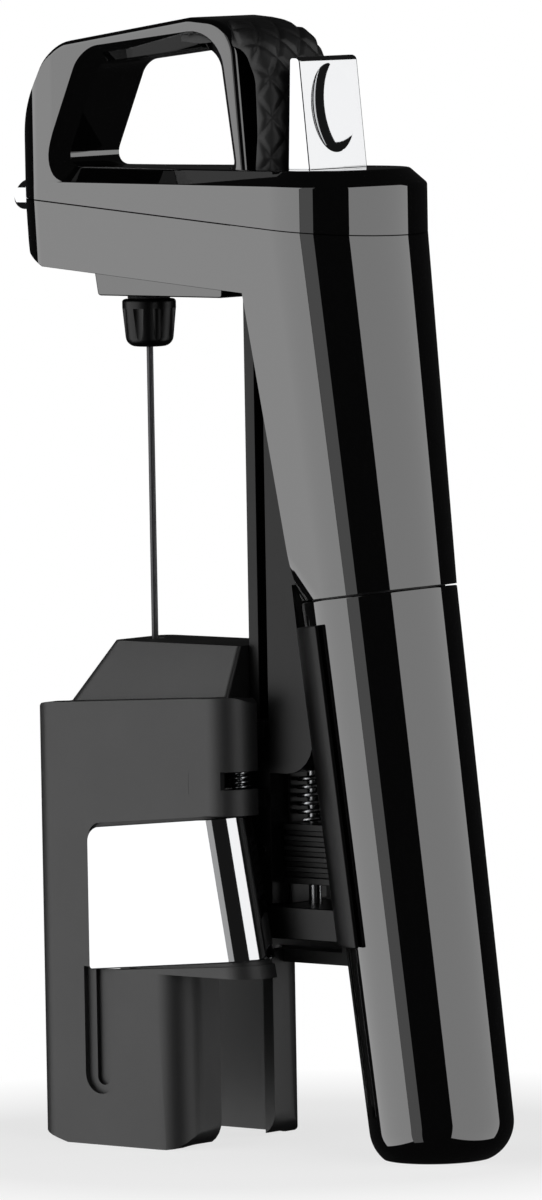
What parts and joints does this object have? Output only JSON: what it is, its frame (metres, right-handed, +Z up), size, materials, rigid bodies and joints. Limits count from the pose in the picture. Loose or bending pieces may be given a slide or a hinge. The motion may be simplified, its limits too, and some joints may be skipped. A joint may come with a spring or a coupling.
{
  "type": "needle wine pourer",
  "caption": "Hand-held needle wine pourer: handle and trigger on a gas capsule column, with a sprung bottle neck clamp that slides on its rail.",
  "frame": {"origin": "on the standing surface, under the middle of the part's box", "axes": "+Z up along the needle and the rail, -Y towards the spout, +Y towards the capsule cup, X across"},
  "size_m": [0.0472, 0.1393, 0.2625],
  "materials": {
    "gloss_black": "high gloss",
    "satin_black": "satin",
    "soft_black": "soft-touch matte",
    "grip_rubber": "moulded diamond pattern",
    "pad_rubber": "matte",
    "chrome": "polished",
    "steel": "drawn",
    "needle_coat": "dark low-friction coat",
    "capsule_steel": "satin",
    "valve_alloy": "machined",
    "inner_plastic": "moulded"
  },
  "bodies": {
    "head": {"head_upper_shell": "gloss_black", "handle_frame": "gloss_black", "handle_grip": "grip_rubber", "head_lower_shell": "gloss_black", "head_screws": "steel", "spout": "chrome", "spout_tube": "steel", "needle_plate": "gloss_black", "plate_screws": "steel", "needle_socket": "inner_plastic", "trigger_pin": "steel", "trigger_spring": "steel", "valve_body": "valve_alloy", "valve_spring": "steel", "piercing_pin": "steel", "capsule_seal": "pad_rubber", "threaded_collar": "inner_plastic", "gas_tube": "steel", "spine_rail": "satin_black", "rail_housing": "satin_black", "rail_foot": "satin_black", "foot_screw": "steel", "cup_guard": "satin_black", "guide_rod": "steel", "guide_spring": "steel", "guide_block": "satin_black"},
    "trigger": {"trigger": "chrome"},
    "valve": {"valve_stem": "steel"},
    "capsule": {"gas_capsule": "capsule_steel"},
    "cup": {"capsule_cup": "gloss_black", "cup_cushion": "pad_rubber"},
    "needle_washer": {"needle_washer": "satin_black"},
    "needle": {"needle_hub": "satin_black", "needle": "needle_coat"},
    "clamp": {"clamp_hood": "soft_black", "hood_base": "soft_black", "bottle_stop": "pad_rubber", "needle_guide": "steel", "carriage_slider": "satin_black", "detent_pins": "steel", "left_hinge_pin": "steel", "right_hinge_pin": "steel", "left_jaw_spring": "steel", "right_jaw_spring": "steel"},
    "left_jaw": {"left_jaw_shell": "soft_black", "left_jaw_plate": "chrome", "left_neck_pad": "pad_rubber", "left_plate_screws": "steel"},
    "right_jaw": {"right_jaw_shell": "soft_black", "right_jaw_plate": "chrome", "right_neck_pad": "pad_rubber", "right_plate_screws": "steel"}
  },
  "joints": [
    {"name": "clamp_slide", "type": "slide", "parent": "head", "child": "clamp", "axis": [0, 0, 1], "range_m": [0, 0.061]},
    {"name": "left_jaw_hinge", "type": "hinge", "parent": "clamp", "child": "left_jaw", "pos_m": [-0.014, 0.0055, 0.0925], "axis": [0, 0, -1], "range_deg": [0, 12], "stiffness_Nm_per_rad": 0.1, "springref_deg": -11.46},
    {"name": "right_jaw_hinge", "type": "hinge", "parent": "clamp", "child": "right_jaw", "pos_m": [0.014, 0.0055, 0.0925], "axis": [0, 0, 1], "range_deg": [0, 12], "stiffness_Nm_per_rad": 0.1, "springref_deg": -11.46},
    {"name": "trigger_press", "type": "hinge", "parent": "head", "child": "trigger", "pos_m": [0, 0.0225, 0.222], "axis": [1, 0, 0], "range_deg": [0, 5.5], "stiffness_Nm_per_rad": 0.6, "springref_deg": -5.73},
    {"name": "valve_push", "type": "slide", "parent": "head", "child": "valve", "axis": [0, 1, 0], "range_m": [0, 0.0012], "deforming": ["valve_spring"]},
    {"name": "cup_unscrew", "type": "slide", "parent": "head", "child": "capsule", "axis": [0, 0.1305, -0.9914], "range_m": [0, 0.0075]},
    {"name": "cup_turn", "type": "hinge", "parent": "capsule", "child": "cup", "pos_m": [0, 0.0365, 0.13], "axis": [0, 0.1305, -0.9914], "range_deg": [0, 1086]},
    {"name": "needle_unscrew", "type": "slide", "parent": "head", "child": "needle_washer", "axis": [0, 0, -1], "range_m": [0, 0.003]},
    {"name": "needle_turn", "type": "hinge", "parent": "needle_washer", "child": "needle", "pos_m": [0, -0.0315, 0.19], "axis": [0, 0, -1], "range_deg": [0, 1448]}
  ],
  "couplings": [
    {"joint": "valve_push", "follows": "trigger_press", "m_per_rad": 0.012},
    {"joint": "cup_turn", "follows": "cup_unscrew", "rad_per_m": 2513.3},
    {"joint": "needle_turn", "follows": "needle_unscrew", "rad_per_m": 8377.6}
  ]
}
